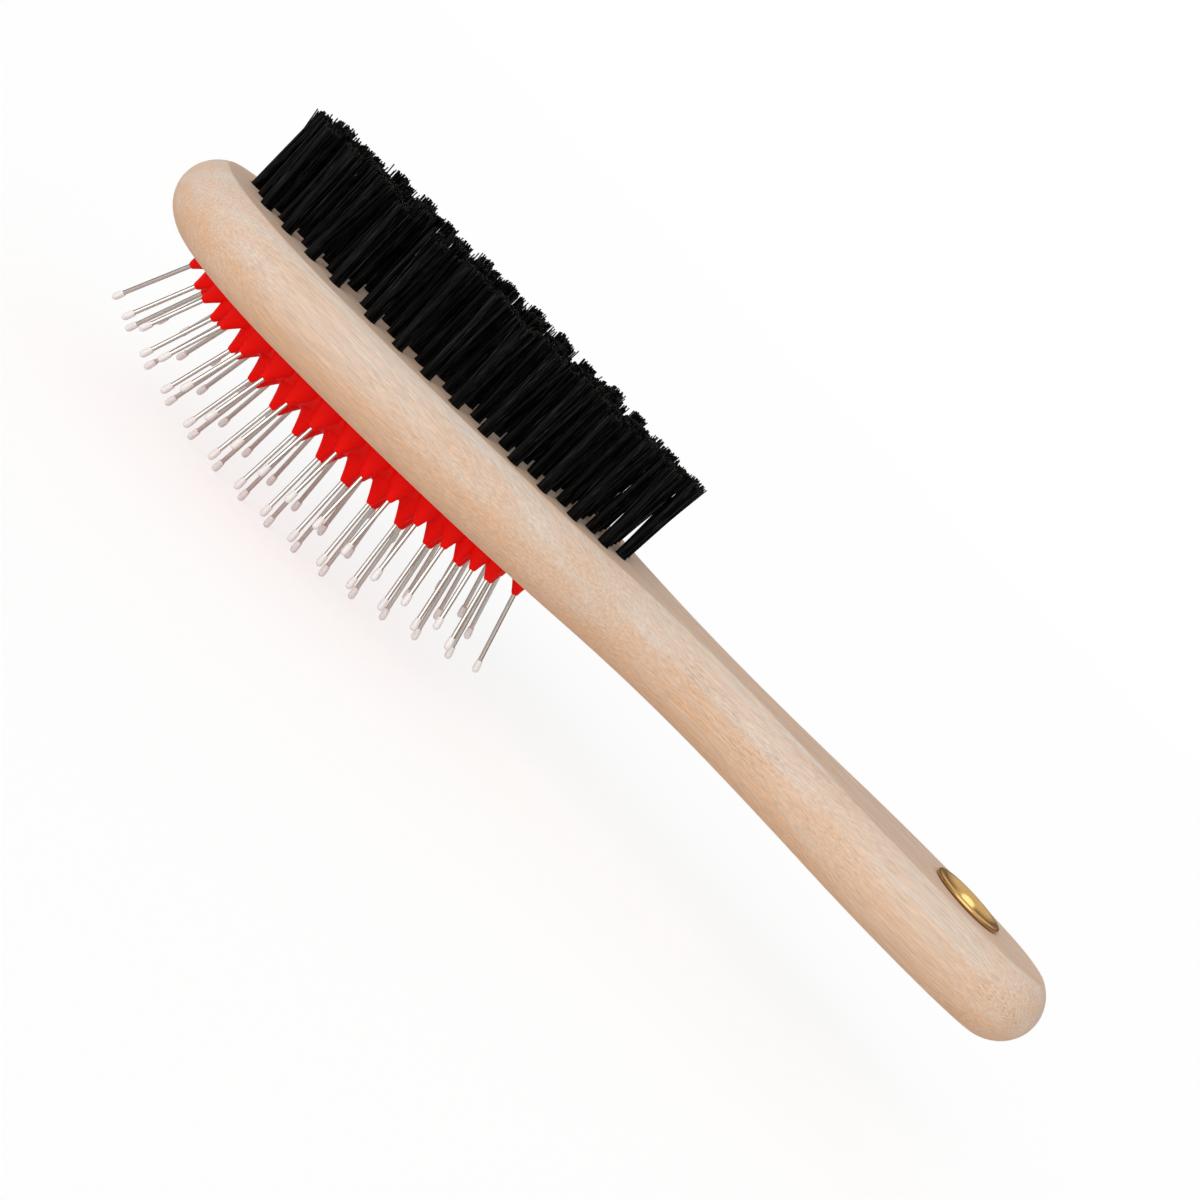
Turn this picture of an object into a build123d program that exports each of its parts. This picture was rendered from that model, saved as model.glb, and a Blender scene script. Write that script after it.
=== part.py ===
from build123d import *

import math
import os

# Two-sided pet brush: wooden body, pin cushion underneath, set bristle tufts on top, hanging eyelet.
# Millimetres. X runs from the head to the handle end, Y across, +Z up on the bristle side.
# The pieces are modelled with the bristle face at Z = 0 and lifted at the end, so that the
# lowest pin tips stand on Z = 0 and the brush is centred on X = Y = 0.

# ---- wooden body ----
WOOD_THICKNESS = 15.6      # between the two flat faces
SIDE_BULGE = 4.8           # how far the rounded side stands out past the flat faces
SIDE_BANDS = 4             # bands that the round of the side is lofted in
HEAD_TIP_X = -117.5
# Half of the widest outline, at mid thickness: tangent arcs from the head tip along the edge,
# as (radius, degrees turned). The neck's arcs turn the other way, with a negative radius.
# One more arc, centred on the middle line, closes the handle end.
OUTLINE_ARCS = [
    (18.5, 29.8),
    (35.3, 31.0),
    (55.5, 27.9),
    (212.0, 21.0),
    (-88.2, 24.5),
    (-213.0, 6.4),
    (126.5, 15.6),
    (53.3, 10.8),
]

# ---- bristle tufts ----
TUFT_ROWS = 7              # lengthwise rows of tufts, odd, so that one runs down the middle
TUFT_PITCH = 7.5           # spacing along a row; neighbouring rows are half a pitch apart
TUFT_FIRST_X = -52.3       # a tuft of the outermost rows stands here
HEAD_BLOCK_X = -77.0       # from here to the head tip the columns are set as a block of their own
HEAD_BLOCK_COLUMN = -6     # number of its first column, in half pitches from TUFT_FIRST_X
HEAD_BLOCK_PITCH = 7.15
TUFT_FIELD_X = -53.2       # middle of the oval field of tufts
TUFT_FIELD_HALF_LENGTH = 51.5
TUFT_FIELD_HALF_WIDTH = 18.6
HEAD_BLUNTNESS = 2.5       # exponent of the oval's head end, 2 is an ellipse
NECK_BLUNTNESS = 2.0
ROW_REACH = [0.955, 1.027, 1.01, 0.95]   # share of the half length for each row, middle row first
CLOSEST_PAIR = 4.2         # least distance between the two rows beside the middle one
TUFT_HOLE_RADIUS = 1.45
TUFT_HOLE_DEPTH = 6.5
TUFT_HOLE_FIT = 0.06       # between the folded root of a tuft and its hole
TUFT_HOLE_SIDES = 6        # flats of a hole, which is small and repeats
STRANDS_PER_TUFT = 4       # the folded root has a corner for each
STRAND_RADIUS = 0.42       # three-sided strand, to its corners, at the root
STRAND_TOP_RADIUS = 0.3
STRAND_RING_RADIUS = 0.7   # the strands of a tuft stand on this circle
STRAND_FLARE = 2.2         # degrees that a strand leans outwards
BRISTLE_LENGTH = 20.2      # above the wood
BRISTLE_RAGGED = 0.9       # how much the strands differ in length, either way
ANCHOR_WIDTH = 2.2         # flat metal staple that holds each tuft down
ANCHOR_HEIGHT = 1.6
ANCHOR_THICKNESS = 0.4

# ---- rubber cushion ----
CUSHION_X = -59.0          # middle of the oval pocket
CUSHION_HALF_LENGTH = 47.3
CUSHION_HALF_WIDTH = 15.0
CUSHION_SIDES = 36         # straight stretches that its oval plan is made of
CUSHION_WALL = 1.5
CROWN_HEIGHT = 10.0        # below the wood, at the highest point of the dome
CROWN_X = -61.0            # the dome is highest nearer the head
CROWN_HEAD_POWER = 2.2     # how blunt the dome's lengthwise profile is towards the head
CROWN_NECK_POWER = 2.0
CROWN_DROP = 10.0          # how much lower the dome is at its long edges than along its middle
DOME_STATIONS = 10         # lengths that the dome is made of
DOME_FACETS = 6            # flats across the dome
DOME_SPARE = 0.5           # the surface runs on this far past both ends of the oval
POCKET_DEPTH = 5.6
POCKET_FIT = 0.15          # between the cushion's skirt and the pocket
SKIRT_TOP_GAP = 0.2        # between the top of the skirt and the pocket's floor
BEAD_WIDTH = 1.1           # bead round the skirt, which snaps into a groove of the pocket
BEAD_HEIGHT = 1.5
GROOVE_FIT = 0.15

# ---- pins ----
PIN_PITCH = 6.55           # spacing along a row
PIN_COLUMNS = 6            # further columns of three pins on each side of the middle one
INNER_ROW_Y = 5.6          # rows on each side of the middle row
RIM_INSET = 3.2            # rim pins stand this far inside the oval's edge
END_INSET = 2.8            # the single pins at the two ends of the oval
PIN_SIDES = 5              # flats round a pin, its tip and its collar, which are small and repeat
PIN_STAND = 22.4           # dome to pin tip, middle row
PIN_STAND_STEP = 2.1       # each row further out stands this much less
LEAN_TO_HEAD = 1.05        # share of the dome's lengthwise slope that a pin leans with, head end
LEAN_TO_NECK = 0.8
LEAN_ACROSS = 0.4          # the same across the brush
WIRE_RADIUS = 0.48
WIRE_FIT = 0.03            # between the wire and the rubber
NUB_HEIGHT = 4.7           # conical rubber collar round each pin
NUB_RADIUS = 2.2
PIN_HEAD_RADIUS = 1.2
PIN_HEAD_HEIGHT = 0.8
PIN_HEAD_SEAT = 2.1        # the head starts this far behind the dome's outer face
TIP_LENGTH = 2.7
TIP_RADIUS = 0.72
TIP_ROOT_RADIUS = 0.62
TIP_END_RADIUS = 0.34
TIP_FULLEST = 0.6          # share of the tip's length where it is thickest
CROWN_SHARE = 0.7          # pins where the dome is higher than this share move as the crown group
SHOULDER_SHARE = 0.42      # lower than that, down to this share, as the shoulder group

# ---- eyelet ----
EYELET_X = 91.5
EYELET_BORE_RADIUS = 5.5
EYELET_METAL = 0.5
EYELET_FIT = 0.05
FLANGE_RADIUS = 8.2
FLANGE_CROWN = 1.1         # height of the flange above the wood
CLINCH_RADIUS = 7.2        # the barrel is turned out over the washer to here
WASHER_THICKNESS = 0.6

CUT_PAST = 1.0             # cutting solids run on this far past the faces that they open

UNDERSIDE = -WOOD_THICKNESS
POCKET_CEILING = UNDERSIDE + POCKET_DEPTH
SKIRT_TOP = POCKET_CEILING - SKIRT_TOP_GAP


# ---- small faceted solids ----
def ring(centre, axis, radius, sides, turn=0.0):
    """Corners of a regular polygon round an axis."""
    plane = Plane(origin=centre, z_dir=axis)
    angles = [turn + 2 * math.pi * i / sides for i in range(sides)]
    return [plane.from_local_coords(Vector(radius * math.cos(a), radius * math.sin(a))) for a in angles]


def faceted(rings):
    """A closed solid of flat faces through rings of as many corners each."""
    faces = [Face(Wire.make_polygon(rings[0])), Face(Wire.make_polygon(rings[-1]))]
    for low, high in zip(rings, rings[1:]):
        for i in range(len(low)):
            j = (i + 1) % len(low)
            faces.append(Face(Wire.make_polygon([low[i], low[j], high[j], high[i]])))
    return Solid(Shell(faces))


def oval(growth, low, high):
    """Upright solid of the cushion's oval plan, grown all round, between two heights."""
    length, width = CUSHION_HALF_LENGTH + growth, CUSHION_HALF_WIDTH + growth
    angles = [2 * math.pi * i / CUSHION_SIDES for i in range(CUSHION_SIDES)]
    plan = [(CUSHION_X + length * math.cos(a), width * math.sin(a)) for a in angles]
    return faceted([[(x, y, z) for x, y in plan] for z in (low, high)])


# ---- wooden body ----
def half_outline(shift):
    """One edge from the head tip to the handle end as tangent arcs, shifted outwards."""
    place, heading = Vector(HEAD_TIP_X - shift, 0), math.pi / 2
    edges = []
    for radius, turn in [*OUTLINE_ARCS, (None, None)]:
        if radius is None:
            radius = place.Y / math.cos(heading)
            turn = 90 + math.degrees(heading)
        else:
            radius += shift
        centre = place + Vector(math.sin(heading), -math.cos(heading)) * radius
        stops = []
        for share in (0.5, 1):
            ahead = heading - math.copysign(math.radians(turn), radius) * share
            stops.append(centre + Vector(-math.sin(ahead), math.cos(ahead)) * radius)
        edges.append(ThreePointArc(place, *stops))
        place, heading = stops[-1], ahead
    return edges


def body_blank():
    """The body's outer form: outlines lofted into a side that is one arc from face to face."""
    middle = WOOD_THICKNESS / 2
    side_radius = (middle**2 + SIDE_BULGE**2) / (2 * SIDE_BULGE)
    reach = math.asin(middle / side_radius)
    sections = []
    for i in range(SIDE_BANDS + 1):
        angle = reach * (2 * i / SIDE_BANDS - 1)
        half = half_outline(side_radius * (math.cos(angle) - 1))
        outline = make_face([*half, *[edge.mirror(Plane.XZ) for edge in half]])
        sections.append(Pos(0, 0, side_radius * math.sin(angle) - middle) * outline)
    return loft(sections, ruled=True)


def eyelet_hole_radius():
    return EYELET_BORE_RADIUS + EYELET_METAL + EYELET_FIT


def wooden_body():
    body = body_blank()
    body -= oval(POCKET_FIT, UNDERSIDE - CUT_PAST, POCKET_CEILING)
    groove_top = SKIRT_TOP + GROOVE_FIT
    groove_low = SKIRT_TOP - BEAD_HEIGHT - GROOVE_FIT
    body -= oval(BEAD_WIDTH + GROOVE_FIT, groove_low, groove_top)
    body -= Pos(EYELET_X, 0, UNDERSIDE / 2) * Cylinder(eyelet_hole_radius(), 2 * WOOD_THICKNESS)
    ends = (-TUFT_HOLE_DEPTH, CUT_PAST)
    holes = [
        faceted([ring((x, y, z), (0, 0, 1), TUFT_HOLE_RADIUS, TUFT_HOLE_SIDES) for z in ends])
        for row in tuft_rows().values()
        for x, y in row
    ]
    return body.cut(*holes)


# ---- bristle tufts ----
def field_half_width(x):
    """Half-width of the oval field of tufts at x."""
    along = min(abs(x - TUFT_FIELD_X) / TUFT_FIELD_HALF_LENGTH, 1)
    power = HEAD_BLUNTNESS if x < TUFT_FIELD_X else NECK_BLUNTNESS
    return TUFT_FIELD_HALF_WIDTH * (1 - along**power) ** (1 / power)


def column_x(number):
    """Place of a column of tufts, numbered in half pitches from TUFT_FIRST_X."""
    if number > HEAD_BLOCK_COLUMN:
        return TUFT_FIRST_X + TUFT_PITCH / 2 * number
    return HEAD_BLOCK_X + HEAD_BLOCK_PITCH / 2 * (number - HEAD_BLOCK_COLUMN)


def tuft_rows():
    """Row number, 0 in the middle and negative on the -Y side, to the places of its tufts."""
    outermost = TUFT_ROWS // 2
    most = 2 * math.ceil(TUFT_FIELD_HALF_LENGTH / HEAD_BLOCK_PITCH) + outermost
    rows = {}
    for row in range(-outermost, outermost + 1):
        reach = ROW_REACH[min(abs(row), len(ROW_REACH) - 1)] * TUFT_FIELD_HALF_LENGTH
        staggered = (outermost - row) % 2
        places = []
        for x in [column_x(2 * i + staggered) for i in range(-most, most + 1)]:
            if abs(x - TUFT_FIELD_X) > reach:
                continue
            across = abs(row) / outermost * field_half_width(x)
            if row:
                across = max(across, CLOSEST_PAIR / 2)
            places.append((x, math.copysign(across, row)))
        rows[row] = places
    return rows


def tuft(x, y, number):
    """Folded root in its hole with its strands, which lean out and end unevenly."""
    root_low = ANCHOR_HEIGHT - TUFT_HOLE_DEPTH
    root_radius = TUFT_HOLE_RADIUS * math.cos(math.pi / TUFT_HOLE_SIDES) - TUFT_HOLE_FIT
    first = math.pi / STRANDS_PER_TUFT
    root = faceted([ring((x, y, z), (0, 0, 1), root_radius, STRANDS_PER_TUFT, first) for z in (root_low, 0)])
    strands = []
    for k in range(STRANDS_PER_TUFT):
        turn = first + 2 * math.pi * k / STRANDS_PER_TUFT
        length = BRISTLE_LENGTH + BRISTLE_RAGGED * math.sin(5.3 * number + 2.1 * k)
        out = STRAND_RING_RADIUS + length * math.tan(math.radians(STRAND_FLARE))
        low = (x + STRAND_RING_RADIUS * math.cos(turn), y + STRAND_RING_RADIUS * math.sin(turn), root_low / 2)
        high = (x + out * math.cos(turn), y + out * math.sin(turn), length)
        strands.append(
            faceted([
                ring(low, (0, 0, 1), STRAND_RADIUS, 3, turn),
                ring(high, (0, 0, 1), STRAND_TOP_RADIUS, 3, turn),
            ])
        )
    return root.fuse(*strands)


def anchor(x, y):
    """Flat staple standing on the bottom of a tuft's hole."""
    height = ANCHOR_HEIGHT / 2 - TUFT_HOLE_DEPTH
    return Pos(x, y, height) * Box(ANCHOR_THICKNESS, ANCHOR_WIDTH, ANCHOR_HEIGHT)


# ---- rubber cushion ----
def crown(x):
    """(height, lengthwise slope) of the dome's middle line at x, measured down from the wood."""
    towards_head = x < CROWN_X
    end = CUSHION_X - CUSHION_HALF_LENGTH if towards_head else CUSHION_X + CUSHION_HALF_LENGTH
    power = CROWN_HEAD_POWER if towards_head else CROWN_NECK_POWER
    along = (x - CROWN_X) / (end - CROWN_X)
    slope = -CROWN_HEIGHT * power * along ** (power - 1) / (end - CROWN_X)
    return CROWN_HEIGHT * (1 - along**power), slope


def drop(y):
    """(how much lower the dome is at y than in its middle, slope across)."""
    return CROWN_DROP * (y / CUSHION_HALF_WIDTH) ** 2, 2 * CROWN_DROP * y / CUSHION_HALF_WIDTH**2


def dome_height(x, y):
    return crown(x)[0] - drop(y)[0]


def oval_half_width(x):
    along = min(abs(x - CUSHION_X) / CUSHION_HALF_LENGTH, 1)
    return CUSHION_HALF_WIDTH * math.sqrt(1 - along**2)


def dome(inset):
    """Everything above the dome's surface, set in by the wall for its inside."""
    edge = CUSHION_HALF_WIDTH + CUT_PAST
    first = CUSHION_X - CUSHION_HALF_LENGTH - DOME_SPARE
    step = 2 * (CUSHION_HALF_LENGTH + DOME_SPARE) / DOME_STATIONS
    ys = [edge * (2 * k / DOME_FACETS - 1) for k in range(DOME_FACETS + 1)]
    sections = []
    for i in range(DOME_STATIONS + 1):
        x = first + step * i
        arch = [(x, y, UNDERSIDE - dome_height(x, y) + inset) for y in ys]
        sections.append([*arch, (x, edge, CUT_PAST), (x, -edge, CUT_PAST)])
    return faceted(sections)


def rubber_cushion(pins):
    """Domed membrane with a conical collar round each pin, a skirt and a bead that holds it."""
    low = UNDERSIDE - CROWN_HEIGHT - CUT_PAST
    outside = oval(0, low, SKIRT_TOP) & dome(0)
    bead = oval(BEAD_WIDTH, SKIRT_TOP - BEAD_HEIGHT, SKIRT_TOP)
    hole = WIRE_RADIUS + WIRE_FIT
    nubs = [pin_rings(pin, [(-CUSHION_WALL, NUB_RADIUS), (NUB_HEIGHT, hole)]) for pin in pins]
    holes = [pin_rings(pin, [(-2 * PIN_HEAD_SEAT, hole), (2 * NUB_HEIGHT, hole)]) for pin in pins]
    chamber = oval(-CUSHION_WALL, low, SKIRT_TOP + CUT_PAST) & dome(CUSHION_WALL)
    return outside.fuse(bead, *nubs).cut(chamber, *holes)


# ---- pins ----
def pin_at(x, y, row):
    """A pin's place on the dome, its direction, how far it stands out and the group it moves with."""
    height, along = crown(x)
    lower, across = drop(y)
    lean = LEAN_TO_HEAD if x < CROWN_X else LEAN_TO_NECK
    axis = Vector(-lean * along, LEAN_ACROSS * across, -1).normalized()
    share = (height - lower) / CROWN_HEIGHT
    group = "crown" if share > CROWN_SHARE else "shoulder" if share > SHOULDER_SHARE else "rim"
    stand = PIN_STAND - PIN_STAND_STEP * row
    return {"base": Vector(x, y, UNDERSIDE - height + lower), "axis": axis, "stand": stand, "group": group}


def pin_field():
    """Columns of three pins with pairs of rim pins half-way between, and one pin at each end."""
    pins = []
    for i in range(-PIN_COLUMNS, PIN_COLUMNS + 1):
        x = CUSHION_X + PIN_PITCH * i
        y = min(INNER_ROW_Y, oval_half_width(x) - RIM_INSET)
        pins += [pin_at(x, -y, 1), pin_at(x, 0, 0), pin_at(x, y, 1)]
    for i in range(-PIN_COLUMNS, PIN_COLUMNS):
        x = CUSHION_X + PIN_PITCH * (i + 0.5)
        y = oval_half_width(x) - RIM_INSET
        pins += [pin_at(x, -y, 2), pin_at(x, y, 2)]
    reach = CUSHION_HALF_LENGTH - END_INSET
    pins += [pin_at(CUSHION_X - reach, 0, 0), pin_at(CUSHION_X + reach, 0, 0)]
    return pins


def pin_rings(pin, stations):
    """A faceted solid along a pin, through (distance below the dome, radius) stations."""
    places = [(pin["base"] + pin["axis"] * distance, radius) for distance, radius in stations]
    return faceted([ring(place, pin["axis"], radius, PIN_SIDES) for place, radius in places])


def pin_wire(pin):
    """Steel wire from its flared head, inside the cushion, to the plastic tip."""
    return pin_rings(pin, [
        (-PIN_HEAD_SEAT - PIN_HEAD_HEIGHT, PIN_HEAD_RADIUS),
        (-PIN_HEAD_SEAT, WIRE_RADIUS),
        (pin["stand"] - TIP_LENGTH, WIRE_RADIUS),
    ])


def pin_tip(pin):
    """Long rounded plastic bead moulded on the end of the wire."""
    root = pin["stand"] - TIP_LENGTH
    middle = root + TIP_LENGTH * TIP_FULLEST
    return pin_rings(pin, [(root, TIP_ROOT_RADIUS), (middle, TIP_RADIUS), (pin["stand"], TIP_END_RADIUS)])


# ---- eyelet ----
def eyelet():
    """One-piece brass eyelet: bevelled flange on top, barrel through the handle, turned out below."""
    bore, barrel = EYELET_BORE_RADIUS, EYELET_BORE_RADIUS + EYELET_METAL
    crest = (bore + FLANGE_RADIUS) / 2
    clinch_top = UNDERSIDE - WASHER_THICKNESS
    clinch_low = clinch_top - EYELET_METAL
    profile = Polyline(
        (bore, clinch_low),
        (bore, FLANGE_CROWN),
        (crest, FLANGE_CROWN),
        (FLANGE_RADIUS, 0),
        (barrel, 0),
        (barrel, clinch_top),
        (CLINCH_RADIUS, clinch_top),
        (CLINCH_RADIUS, clinch_low),
        close=True,
    )
    section = make_face(Plane.XZ * profile)
    return Pos(EYELET_X, 0, 0) * revolve(section, Axis.Z)


def eyelet_washer():
    """Flat brass ring that the barrel is clinched over, under the handle."""
    ring_plan = Circle(FLANGE_RADIUS) - Circle(eyelet_hole_radius())
    return extrude(Pos(EYELET_X, 0, UNDERSIDE - WASHER_THICKNESS) * ring_plan, WASHER_THICKNESS)


# ---- the whole brush ----
def brush():
    """Every sub-part by name, in the frame of the bristle face."""
    pins = pin_field()
    parts = {
        "wooden_body": wooden_body(),
        "rubber_cushion": rubber_cushion(pins),
        "hanging_eyelet": eyelet(),
        "eyelet_washer": eyelet_washer(),
    }
    for group in ("crown", "shoulder", "rim"):
        own = [pin for pin in pins if pin["group"] == group]
        parts[f"{group}_pin_wires"] = Compound([pin_wire(pin) for pin in own])
        parts[f"{group}_pin_tips"] = Compound([pin_tip(pin) for pin in own])
    for row, places in tuft_rows().items():
        side = "middle" if row == 0 else ("left_" if row > 0 else "right_") + str(abs(row))
        parts[f"bristle_row_{side}"] = Compound([tuft(x, y, i) for i, (x, y) in enumerate(places)])
        parts[f"tuft_anchors_{side}"] = Compound([anchor(x, y) for x, y in places])
    return parts


def main():
    os.makedirs("parts", exist_ok=True)
    parts = brush()
    body_box = parts["wooden_body"].bounding_box()
    lowest = min(shape.bounding_box().min.Z for shape in parts.values())
    stand = Pos(-body_box.center().X, 0, -lowest)
    for name, shape in parts.items():
        export_step(stand * shape, f"parts/{name}.step")


main()
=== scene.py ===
"""Double-sided wooden pet brush: bristle tufts above, a rubber cushion of wire pins below."""

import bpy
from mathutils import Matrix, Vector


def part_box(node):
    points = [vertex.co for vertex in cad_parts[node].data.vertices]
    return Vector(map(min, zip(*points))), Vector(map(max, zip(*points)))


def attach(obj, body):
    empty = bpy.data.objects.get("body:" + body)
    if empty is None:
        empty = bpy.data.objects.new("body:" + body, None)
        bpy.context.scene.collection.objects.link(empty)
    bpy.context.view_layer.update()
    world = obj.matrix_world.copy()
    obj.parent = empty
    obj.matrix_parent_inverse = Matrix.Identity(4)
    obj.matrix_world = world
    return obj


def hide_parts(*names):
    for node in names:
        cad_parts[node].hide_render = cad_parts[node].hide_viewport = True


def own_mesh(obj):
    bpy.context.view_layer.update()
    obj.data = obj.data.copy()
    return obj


bl_info = {
    "name": "Double-sided pet brush",
    "version": (1, 0, 0),
    "blender": (4, 5, 0),
    "location": "3D View > Sidebar > Pet brush",
    "description": "Builds a pet brush: bristle tufts on one side, a pin cushion on the other",
    "category": "Add Mesh",
}

import math
import random

import bmesh
import bpy
from mathutils import Matrix, Vector

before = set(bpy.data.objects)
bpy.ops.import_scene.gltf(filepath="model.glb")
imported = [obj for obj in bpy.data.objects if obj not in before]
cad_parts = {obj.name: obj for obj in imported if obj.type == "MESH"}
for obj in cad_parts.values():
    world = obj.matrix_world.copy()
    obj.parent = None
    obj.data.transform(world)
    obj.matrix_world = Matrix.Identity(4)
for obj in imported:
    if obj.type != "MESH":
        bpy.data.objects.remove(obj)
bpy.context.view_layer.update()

MM = 0.001
SEED = 7
GOLDEN_ANGLE = 2.39996             # radians, spreads the filaments evenly over a tuft
PIN_GROUPS = ("crown", "shoulder", "rim")
BODY_LOW, BODY_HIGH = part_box("wooden_body")
FACE_Z = BODY_HIGH[2]              # the flat face that the bristles stand on
UNDERSIDE_Z = BODY_LOW[2]
MIDDLE_Z = (FACE_Z + UNDERSIDE_Z) / 2
EYELET_LOW, EYELET_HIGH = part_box("hanging_eyelet")
EYELET_X = (EYELET_LOW[0] + EYELET_HIGH[0]) / 2

# Half of the widest outline, at mid thickness: tangent arcs from the head tip along the edge, as
# (radius in mm, degrees turned). The neck's arcs turn the other way, with a negative radius.
# One more arc, centred on the middle line, closes the handle end.
OUTLINE_ARCS = (
    (18.5, 29.8),
    (35.3, 31.0),
    (55.5, 27.9),
    (212.0, 21.0),
    (-88.2, 24.5),
    (-213.0, 6.4),
    (126.5, 15.6),
    (53.3, 10.8),
)
OUTLINE_STEP = 1.4                 # mm between the outline's points
SIDE_RINGS = 9                     # rings of faces from the widest outline to the flat face
TUFT_HOLE_DEPTH = 6.5              # mm
EYELET_ROOM = 0.05                 # mm between the eyelet's barrel and the wood

# The cushion, all in mm, with places along X measured from the middle of the body.
CUSHION_X = -59.0
CUSHION_HALF_LENGTH = 47.3
CUSHION_HALF_WIDTH = 15.0
POCKET_DEPTH = 5.6
POCKET_ROOM = 0.15                 # between the cushion's rim and the pocket's side
CROWN_X = -61.0                    # the dome is highest nearer the head
CROWN_HEAD_POWER = 2.2             # how blunt its lengthwise profile is towards the head
CROWN_NECK_POWER = 2.0
CROWN_DROP = 10.0                  # how much lower it is at its long edges than along its middle
WALL = 1.3
RIM_HEIGHT = 5.0                   # how far the rim goes into the pocket
# A nub as (radius, distance along its pin) and the radius of its foot, inside the wall.
NUB_PROFILE = (
    (3.25, 1.3), (2.8, 2.0), (2.35, 2.8), (1.9, 3.7), (1.46, 4.7), (1.08, 5.6),
    (0.82, 6.3), (0.66, 6.65), (0.5, 6.75),
)
NUB_FEET = {"crown": 3.25, "shoulder": 3.55, "rim": 3.25}
NUB_FOOT_START = 0.7

# The pins, in mm along each pin from the head end of its CAD wire.
WIRE_START = 0.8                   # where the drawn wire and the nub's own lengths begin
WIRE_IN_BEAD = 1.5
# A bead as (share of its full radius, distance from where it starts on the wire).
BEAD_PROFILE = (
    (0.0, 0.0), (0.8, 0.0), (0.88, 0.2), (0.95, 0.9), (1.0, 1.6), (0.96, 2.05),
    (0.82, 2.38), (0.55, 2.59), (0.25, 2.68), (0.0, 2.7),
)

# The tufts. A slope is a sideways drift per height, as (mean, spread) of a normal distribution.
LEAN_ALONG = (0.035, 0.017)        # of a whole tuft, towards the handle
LEAN_ACROSS = (0, 0.017)
FAN = 0.026                        # slope of a filament at the tuft's edge, away from its middle
STRAY = (0, 0.012)                 # a single filament's own slope
CURL = (0, 0.008)                  # the slope that it gains towards its tip
LOOSE_SHARE = 0.08                 # filaments that stray more than the others
LOOSE_FACTOR = 2.6
TUFT_TRIM = (-1.0, 0.45)           # mm that a whole tuft is cut longer or shorter
FILAMENT_TRIM = (-0.55, 0.4)
ROOT_DEPTH = 3.0                   # mm of a filament inside its hole

# The eyelet, in mm.
FUNNEL_DEPTH = 1.2                 # from the face down to where the bore starts to widen
FUNNEL_FLARE = 1.9                 # how far the funnel widens up to its crest
ROLL = 0.6                         # half the width of the rolled rim
WASHER = 0.6                       # thickness of the washer that the eyelet is clinched over
CLINCH_RADIUS = 7.0

# The studio.
FLOOR_SIZE = 60                    # m
AIM = (-0.3 * MM, 0, FACE_Z - 9.59 * MM)    # the point that the camera looks at


def linear(code):
    """Linear colour of an sRGB hex value."""
    parts = [int(code[i:i + 2], 16) / 255 for i in (1, 3, 5)]
    return [part / 12.92 if part <= 0.04045 else ((part + 0.055) / 1.055) ** 2.4 for part in parts]


def colour_setting(name, description, code):
    return bpy.props.FloatVectorProperty(
        name=name, description=description, subtype="COLOR", size=3, min=0, max=1,
        default=linear(code))


def length_setting(name, description, millimetres):
    return bpy.props.FloatProperty(
        name=name, description=description, unit="LENGTH", min=0, precision=5,
        default=millimetres * MM)


# ---- settings ----
class BodySettings(bpy.types.PropertyGroup):
    side_bulge: length_setting(
        "Side bulge", "How far the rounded side stands out past the flat faces", 4.8)
    edge_softness: length_setting(
        "Edge softness", "Sanded round of the edge between side and face", 0.2)
    tuft_hole: length_setting("Tuft hole", "Radius of the hole that a tuft stands in", 1.5)
    pale: colour_setting("Pale wood", "Light bands of the beech", "#E1D4C8")
    # The warm colour is also the painted shade on the lower side and the flat face.
    warm: colour_setting("Warm wood", "Darker bands of the beech", "#E4BB99")
    pore: colour_setting("Pores", "Short dark pores along the grain", "#A9713F")


class CushionSettings(bpy.types.PropertyGroup):
    crown_height: length_setting("Crown height", "How far the dome stands out of the wood", 10.0)
    rubber: colour_setting("Rubber", "Moulded red rubber", "#FA0E05")


class PinSettings(bpy.types.PropertyGroup):
    wire_radius: length_setting("Wire radius", "Radius of the steel wire", 0.47)
    tip_radius: length_setting("Tip radius", "Radius of the plastic bead at its fullest", 0.74)
    steel: colour_setting("Wire", "Bright drawn steel", "#D6D1CB")
    plastic: colour_setting("Tip", "Milky plastic of the beads", "#F8F6F5")


class BristleSettings(bpy.types.PropertyGroup):
    length: length_setting("Length", "Of the bristles above the wood", 20.2)
    filament_radius: length_setting("Filament radius", "Radius of one nylon filament", 0.16)
    tuft_radius: length_setting("Tuft radius", "Radius of a tuft where it leaves its hole", 1.22)
    filaments: bpy.props.IntProperty(
        name="Filaments", description="Filaments in a tuft", min=8, max=90, default=48)
    nylon: colour_setting("Nylon", "Black nylon filament", "#050505")


class EyeletSettings(bpy.types.PropertyGroup):
    flange_radius: length_setting("Flange radius", "Outer radius of the rolled flange", 8.2)
    bore_radius: length_setting("Bore radius", "Radius of the hole through the eyelet", 5.5)
    metal: length_setting("Metal", "Thickness of the pressed sheet", 0.5)
    brass: colour_setting("Brass", "Lacquered brass plate", "#CBA468")


class StudioSettings(bpy.types.PropertyGroup):
    distance: length_setting("Camera distance", "From the camera to the point it aims at", 340.0)
    lens: bpy.props.FloatProperty(
        name="Lens", description="Focal length on a 36 mm sensor, in mm", min=10, default=51.8)
    bearing: bpy.props.FloatProperty(
        name="Bearing", description="Turn of the camera round the brush", subtype="ANGLE",
        default=math.radians(-1.77))
    height: bpy.props.FloatProperty(
        name="Height", description="Angle that the camera looks down at", subtype="ANGLE",
        default=math.radians(10.23))
    roll: bpy.props.FloatProperty(
        name="Roll", description="How far the brush slopes down to the right in the picture",
        subtype="ANGLE", default=math.radians(45.05))
    floor: colour_setting("Floor", "Plain pale floor", "#F4F4F4")


# ---- small tools ----
def deselect():
    if bpy.context.object and bpy.context.object.mode != "OBJECT":
        bpy.ops.object.mode_set(mode="OBJECT")
    bpy.ops.object.select_all(action="DESELECT")


def choose(*objects):
    """Selects these objects alone, the first one active."""
    deselect()
    for item in objects:
        item.select_set(True)
    bpy.context.view_layer.objects.active = objects[0]


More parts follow.
